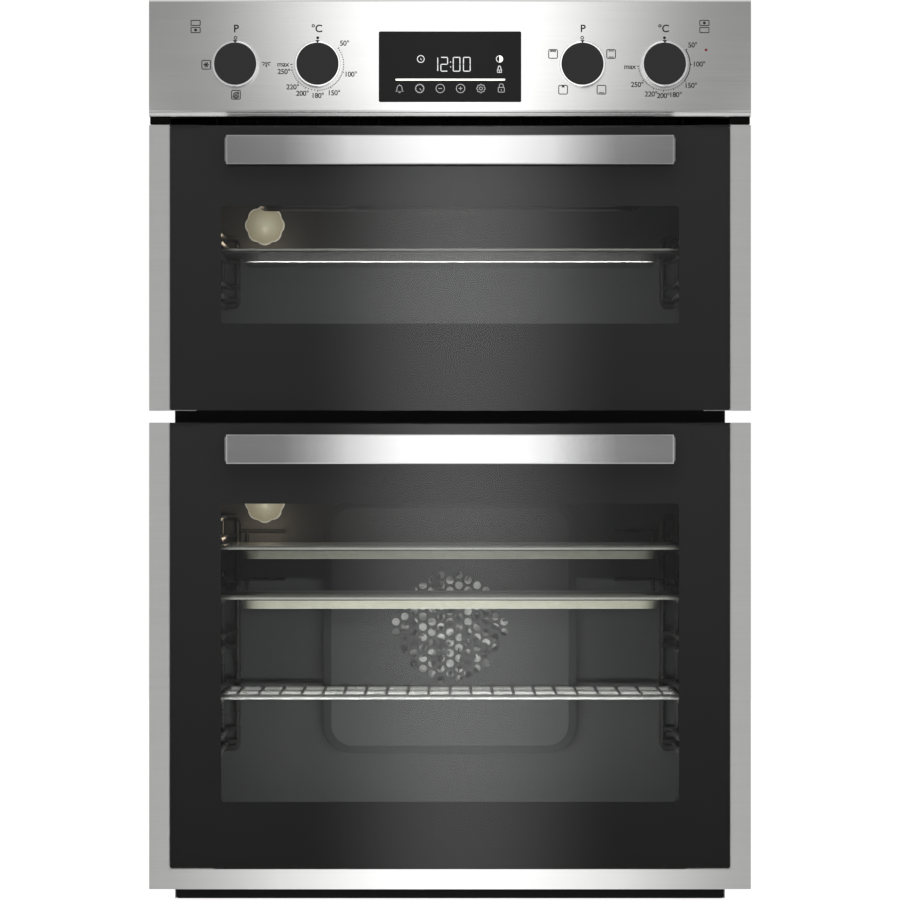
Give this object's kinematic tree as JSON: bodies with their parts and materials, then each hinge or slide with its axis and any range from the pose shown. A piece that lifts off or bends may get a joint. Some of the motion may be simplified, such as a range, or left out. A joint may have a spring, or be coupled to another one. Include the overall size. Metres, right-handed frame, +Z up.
{
  "type": "built-in double wall oven",
  "caption": "Built-in double electric wall oven with two bottom-hinged glass doors, bar handles, rotary knobs and a touch display.",
  "frame": {"origin": "middle of the underside, on the plane of the cabinet's front edge", "axes": "+X to the user's right, front faces -Y, +Z up"},
  "size_m": [0.594, 0.6088, 0.888],
  "materials": {
    "fascia_steel": "horizontally brushed stainless",
    "trim_steel": "satin stainless",
    "handle_steel": "fine satin stainless",
    "door_glass": "black printed float glass",
    "inner_glass": "clear coated glass",
    "display_glass": "polished black glass",
    "cavity_enamel": "gloss vitreous enamel, grey-black",
    "frame_enamel": "satin black enamel",
    "tray_enamel": "gloss grey enamel",
    "galvanised": "galvanised sheet",
    "chromed_wire": "bright chrome",
    "knob_plastic": "satin black moulded plastic",
    "ring_chrome": "bright chrome",
    "black_plastic": "fine textured black plastic",
    "seal_rubber": "dark silicone",
    "mineral_wool": "yellow mineral wool",
    "element_sheath": "oxidised heater sheath",
    "motor_steel": "laminated steel",
    "fan_steel": "pressed aluminised sheet",
    "lamp_glass": "moulded heat-resistant glass",
    "lamp_ceramic": "unglazed ceramic",
    "circuit_board": "solder-masked board",
    "switch_plastic": "natural thermoset",
    "zinc_steel": "zinc-plated steel",
    "screw_steel": "zinc-plated screws"
  },
  "bodies": {
    "chassis": {"air_duct": "galvanised", "air_outlet": "black_plastic", "base_plate": "galvanised", "base_strip": "frame_enamel", "blower_housing": "galvanised", "bottom_elements": "element_sheath", "cabinet_brackets": "zinc_steel", "chassis_screws": "screw_steel", "control_board": "circuit_board", "control_fascia": "fascia_steel", "display_glass": "display_glass", "divider_plate": "galvanised", "door_seals": "seal_rubber", "fan_cover": "cavity_enamel", "fan_motors": "motor_steel", "front_frame": "frame_enamel", "function_switches": "switch_plastic", "heating_elements": "element_sheath", "hinge_arms": "zinc_steel", "hinge_receivers": "zinc_steel", "insulation_jackets": "mineral_wool", "lamp_covers": "lamp_glass", "lamp_holders": "lamp_ceramic", "lower_baking_trays": "tray_enamel", "lower_cavity": "cavity_enamel", "lower_side_racks": "chromed_wire", "panel_carrier": "black_plastic", "rear_panel": "galvanised", "side_panels": "galvanised", "terminal_box": "black_plastic", "thermostats": "switch_plastic", "top_cover": "galvanised", "upper_baking_tray": "tray_enamel", "upper_cavity": "cavity_enamel", "upper_side_racks": "chromed_wire", "wire_shelf": "chromed_wire"},
    "cooling_fan": {"blower_wheel": "black_plastic"},
    "hot_air_fan": {"fan_impeller": "fan_steel"},
    "lower_door": {"lower_door_carrier": "galvanised", "lower_door_inner_glass": "inner_glass", "lower_door_outer_glass": "door_glass", "lower_door_trim": "trim_steel", "lower_handle_bar": "handle_steel", "lower_handle_posts": "trim_steel", "lower_hinge_bodies": "zinc_steel"},
    "lower_oven_function_knob": {"lower_oven_function_knob": "knob_plastic", "lower_oven_function_knob_ring": "ring_chrome"},
    "lower_oven_temperature_knob": {"lower_oven_temperature_knob": "knob_plastic", "lower_oven_temperature_knob_ring": "ring_chrome"},
    "upper_door": {"upper_door_carrier": "galvanised", "upper_door_inner_glass": "inner_glass", "upper_door_outer_glass": "door_glass", "upper_door_trim": "trim_steel", "upper_handle_bar": "handle_steel", "upper_handle_posts": "trim_steel", "upper_hinge_bodies": "zinc_steel"},
    "upper_oven_function_knob": {"upper_oven_function_knob": "knob_plastic", "upper_oven_function_knob_ring": "ring_chrome"},
    "upper_oven_temperature_knob": {"upper_oven_temperature_knob": "knob_plastic", "upper_oven_temperature_knob_ring": "ring_chrome"}
  },
  "joints": [
    {"name": "lower_door_swing", "type": "hinge", "parent": "chassis", "child": "lower_door", "pos_m": [0, -0.022, 0.0246], "axis": [1, 0, 0], "range_deg": [0, 90], "stiffness_Nm_per_rad": 4, "springref_deg": -22.92},
    {"name": "upper_door_swing", "type": "hinge", "parent": "chassis", "child": "upper_door", "pos_m": [0, -0.022, 0.4968], "axis": [1, 0, 0], "range_deg": [0, 90], "stiffness_Nm_per_rad": 1.8, "springref_deg": -22.92},
    {"name": "lower_oven_function_turn", "type": "hinge", "parent": "chassis", "child": "lower_oven_function_knob", "pos_m": [-0.2116, -0.042, 0.8245], "axis": [0, 1, 0], "continuous": true},
    {"name": "lower_oven_temperature_turn", "type": "hinge", "parent": "chassis", "child": "lower_oven_temperature_knob", "pos_m": [-0.1305, -0.042, 0.8245], "axis": [0, 1, 0], "range_deg": [0, 270]},
    {"name": "upper_oven_function_turn", "type": "hinge", "parent": "chassis", "child": "upper_oven_function_knob", "pos_m": [0.1305, -0.042, 0.8245], "axis": [0, 1, 0], "continuous": true},
    {"name": "upper_oven_temperature_turn", "type": "hinge", "parent": "chassis", "child": "upper_oven_temperature_knob", "pos_m": [0.2116, -0.042, 0.8245], "axis": [0, 1, 0], "range_deg": [0, 270]},
    {"name": "hot_air_fan_spin", "type": "hinge", "parent": "chassis", "child": "hot_air_fan", "pos_m": [0, 0.41, 0.262], "axis": [0, 1, 0], "continuous": true},
    {"name": "cooling_fan_spin", "type": "hinge", "parent": "chassis", "child": "cooling_fan", "pos_m": [0, 0.19, 0.7693], "axis": [0, 0, 1], "continuous": true}
  ]
}
